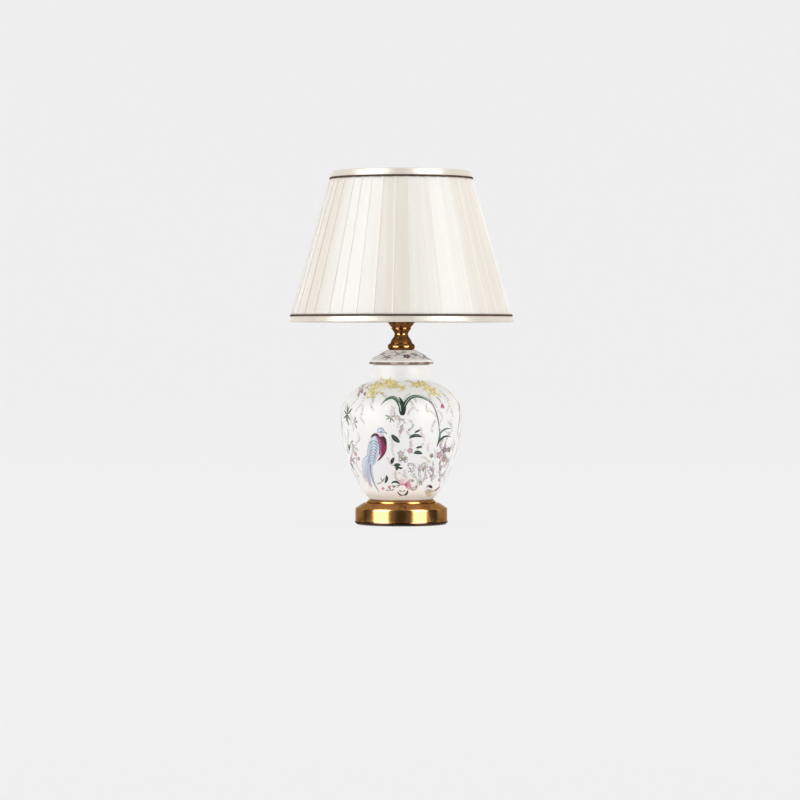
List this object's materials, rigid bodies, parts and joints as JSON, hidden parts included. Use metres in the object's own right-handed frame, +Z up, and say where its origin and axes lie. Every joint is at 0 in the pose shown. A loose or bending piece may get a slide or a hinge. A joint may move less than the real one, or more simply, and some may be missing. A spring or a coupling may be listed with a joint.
{
  "type": "table lamp",
  "caption": "Table lamp with a glazed lidded vase stem on a round brass base and a pleated conical cloth shade that lifts off.",
  "frame": {"origin": "centre of the felt's lower face, on the table", "axes": "+Z up along the lamp's axis, -Y towards the front of the picture, +Y at the cord inlet"},
  "size_m": [0.3, 0.3, 0.4694],
  "materials": {
    "felt": "dense felt",
    "steel": "zinc plated",
    "cast_iron": "rough, black paint",
    "antique_brass": "brushed antique brass plate",
    "black_plastic": "moulded",
    "white_plastic": "moulded",
    "wire_insulation": "clear coated",
    "cork": "pressed cork",
    "vase_glaze": "clear gloss glaze over painted flowers",
    "lid_glaze": "clear gloss glaze over painted flowers",
    "porcelain": "unglazed",
    "contact_brass": "bare",
    "white_wire": "white powder coat",
    "liner_sheet": "laminated lining, matt",
    "pleated_cloth": "ivory satin weave",
    "satin_band": "ivory satin weave",
    "dark_piping": "twisted cord",
    "cap_metal": "nickel plated",
    "black_glass": "vitrite",
    "bulb_glass": "frosted",
    "phosphor": "phosphor coat"
  },
  "bodies": {
    "stand": {"felt_pad": "felt", "bottom_plate": "steel", "plate_screws": "steel", "base_weight": "cast_iron", "base_shell": "antique_brass", "base_collar": "antique_brass", "cord_gland": "black_plastic", "gland_nut": "black_plastic", "terminal_block": "white_plastic", "terminal_screws": "steel", "inner_wires": "wire_insulation", "threaded_rod": "steel", "rod_washer": "steel", "rod_nut": "steel", "vase_seal": "cork", "vase_body": "vase_glaze", "lid_seal": "cork", "vase_lid": "lid_glaze", "neck_ring": "antique_brass", "neck_bell": "antique_brass", "neck_waist": "antique_brass", "holder_cup": "antique_brass", "holder_nut": "steel", "lampholder_dome": "black_plastic", "lock_screw": "steel", "lampholder_insert": "porcelain", "lampholder_shell": "contact_brass", "lampholder_contact": "contact_brass", "lampholder_skirt": "black_plastic"},
    "shade": {"shade_carrier": "white_wire", "shade_top_wire": "white_wire", "shade_liner": "liner_sheet", "shade_cover": "pleated_cloth", "shade_bottom_band": "satin_band", "shade_top_band": "satin_band", "shade_bottom_piping": "dark_piping", "shade_top_piping": "dark_piping"},
    "clamp_ring": {"shade_ring": "black_plastic"},
    "bulb": {"bulb_cap": "cap_metal", "bulb_insulator": "black_glass", "bulb_tip": "contact_brass", "bulb_glass": "bulb_glass", "bulb_stem": "bulb_glass", "bulb_filaments": "phosphor", "bulb_supports": "steel"}
  },
  "joints": [
    {"name": "shade_lift", "type": "slide", "parent": "stand", "child": "shade", "axis": [0, 0, 1], "range_m": [0, 0.15]},
    {"name": "ring_turn", "type": "hinge", "parent": "shade", "child": "clamp_ring", "pos_m": [0, 0, 0.3001], "axis": [0, 0, 1], "continuous": true},
    {"name": "bulb_out", "type": "slide", "parent": "stand", "child": "bulb", "axis": [0, 0, 1], "range_m": [0, 0.03]}
  ]
}
